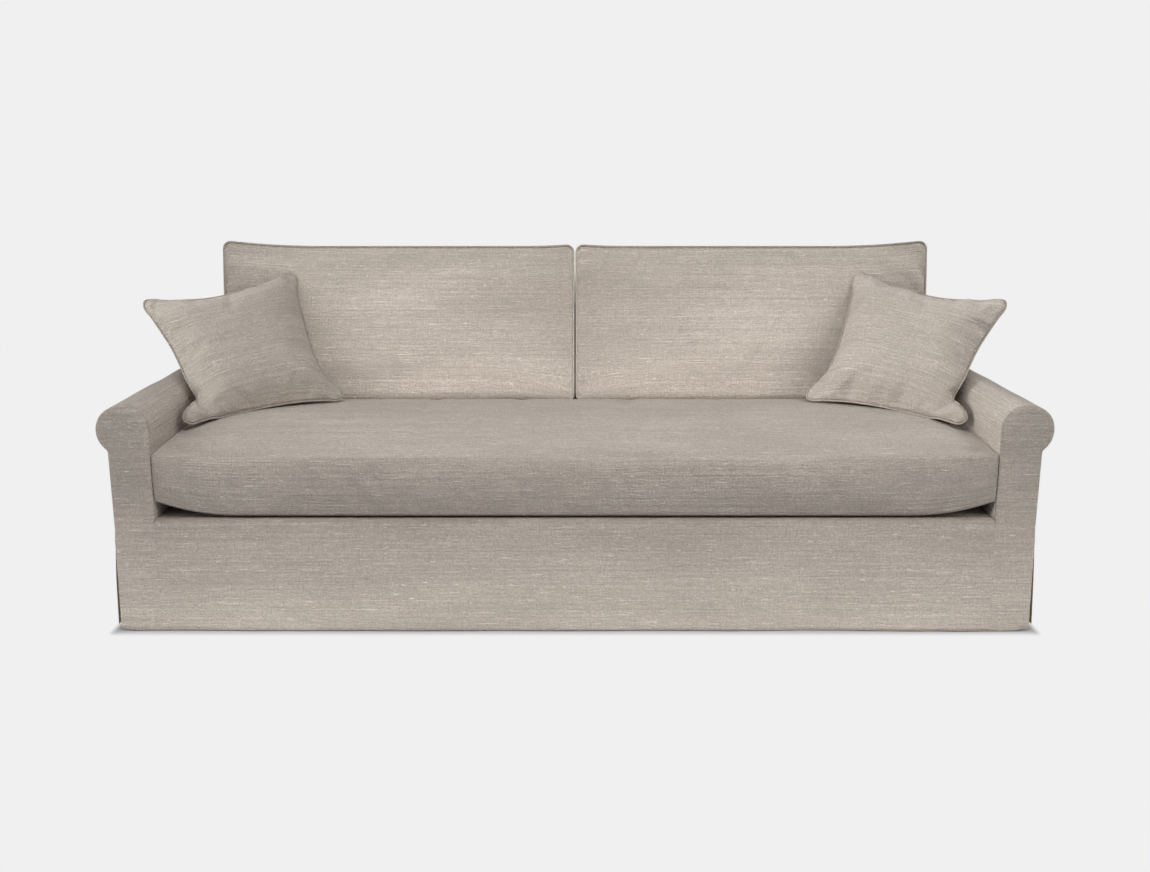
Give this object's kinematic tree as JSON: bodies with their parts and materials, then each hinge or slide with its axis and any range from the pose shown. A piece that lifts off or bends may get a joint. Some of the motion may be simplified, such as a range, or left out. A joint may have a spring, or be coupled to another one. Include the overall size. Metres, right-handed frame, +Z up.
{
  "type": "sofa",
  "caption": "Slipcovered sofa with low rolled arms, a bench seat cushion, welted back cushions and throw pillows, and a skirt to the floor.",
  "frame": {"origin": "on the floor, in the middle of the sofa's bounding box", "axes": "+X to the right as seen from the front, along the seat; +Y towards the back; +Z up"},
  "size_m": [2.4464, 0.989, 0.9629],
  "materials": {
    "slipcover_fabric": "matt slub weave",
    "lining_cloth": "matt",
    "webbing": "matt",
    "padding": "matt",
    "frame_wood": "sawn",
    "steel": "plain",
    "glide_plastic": "matt",
    "zip_tape": "matt",
    "zip_metal": "satin"
  },
  "bodies": {
    "frame": {"front_panel": "slipcover_fabric", "right_arm_front_panel": "slipcover_fabric", "left_arm_front_panel": "slipcover_fabric", "right_arm_cover": "slipcover_fabric", "left_arm_cover": "slipcover_fabric", "right_side_panel": "slipcover_fabric", "left_side_panel": "slipcover_fabric", "inside_back_cover": "slipcover_fabric", "outside_back_panel": "slipcover_fabric", "deck_cover": "slipcover_fabric", "front_rail": "frame_wood", "back_rail": "frame_wood", "right_side_rail": "frame_wood", "left_side_rail": "frame_wood", "deck_stretchers": "frame_wood", "corner_blocks": "frame_wood", "feet": "frame_wood", "foot_glides": "glide_plastic", "foot_bolts": "steel", "frame_screws": "steel", "dust_cover": "lining_cloth", "right_arm_boards": "frame_wood", "right_arm_top_rail": "frame_wood", "right_arm_pad": "padding", "left_arm_boards": "frame_wood", "left_arm_top_rail": "frame_wood", "left_arm_pad": "padding", "back_posts": "frame_wood", "back_top_rail": "frame_wood", "back_low_rails": "frame_wood", "back_webbing": "webbing", "inside_back_pad": "padding", "back_liner": "lining_cloth", "seat_springs": "steel", "spring_clips": "steel", "deck_canvas": "lining_cloth", "deck_pad": "padding", "front_edge_roll": "padding"},
    "seat_cushion": {"seat_cushion_cover": "slipcover_fabric", "seat_cushion_wrap": "padding", "seat_cushion_core": "padding", "seat_zipper": "zip_tape"},
    "zip_slider": {"seat_zipper_slider": "zip_metal"},
    "left_back_cushion": {"left_back_cushion_cover": "slipcover_fabric", "left_back_cushion_insert": "padding", "left_back_cushion_welt": "slipcover_fabric"},
    "left_pillow": {"left_pillow_cover": "slipcover_fabric", "left_pillow_insert": "padding", "left_pillow_welt": "slipcover_fabric"},
    "right_back_cushion": {"right_back_cushion_cover": "slipcover_fabric", "right_back_cushion_insert": "padding", "right_back_cushion_welt": "slipcover_fabric"},
    "right_pillow": {"right_pillow_cover": "slipcover_fabric", "right_pillow_insert": "padding", "right_pillow_welt": "slipcover_fabric"}
  },
  "joints": [
    {"name": "seat_cushion_lift", "type": "slide", "parent": "frame", "child": "seat_cushion", "axis": [0, 0, 1], "range_m": [0, 0.45]},
    {"name": "zip_slide", "type": "slide", "parent": "seat_cushion", "child": "zip_slider", "axis": [1, 0, 0], "range_m": [0, 1.158]},
    {"name": "left_back_cushion_lift", "type": "slide", "parent": "seat_cushion", "child": "left_back_cushion", "axis": [0, 0.1564, 0.9877], "range_m": [0, 0.3]},
    {"name": "right_back_cushion_lift", "type": "slide", "parent": "seat_cushion", "child": "right_back_cushion", "axis": [0, 0.1564, 0.9877], "range_m": [0, 0.3]},
    {"name": "left_pillow_lift", "type": "slide", "parent": "left_back_cushion", "child": "left_pillow", "axis": [0.2966, -0.6419, 0.7071], "range_m": [0, 0.3]},
    {"name": "right_pillow_lift", "type": "slide", "parent": "right_back_cushion", "child": "right_pillow", "axis": [-0.2966, -0.6419, 0.7071], "range_m": [0, 0.3]}
  ]
}
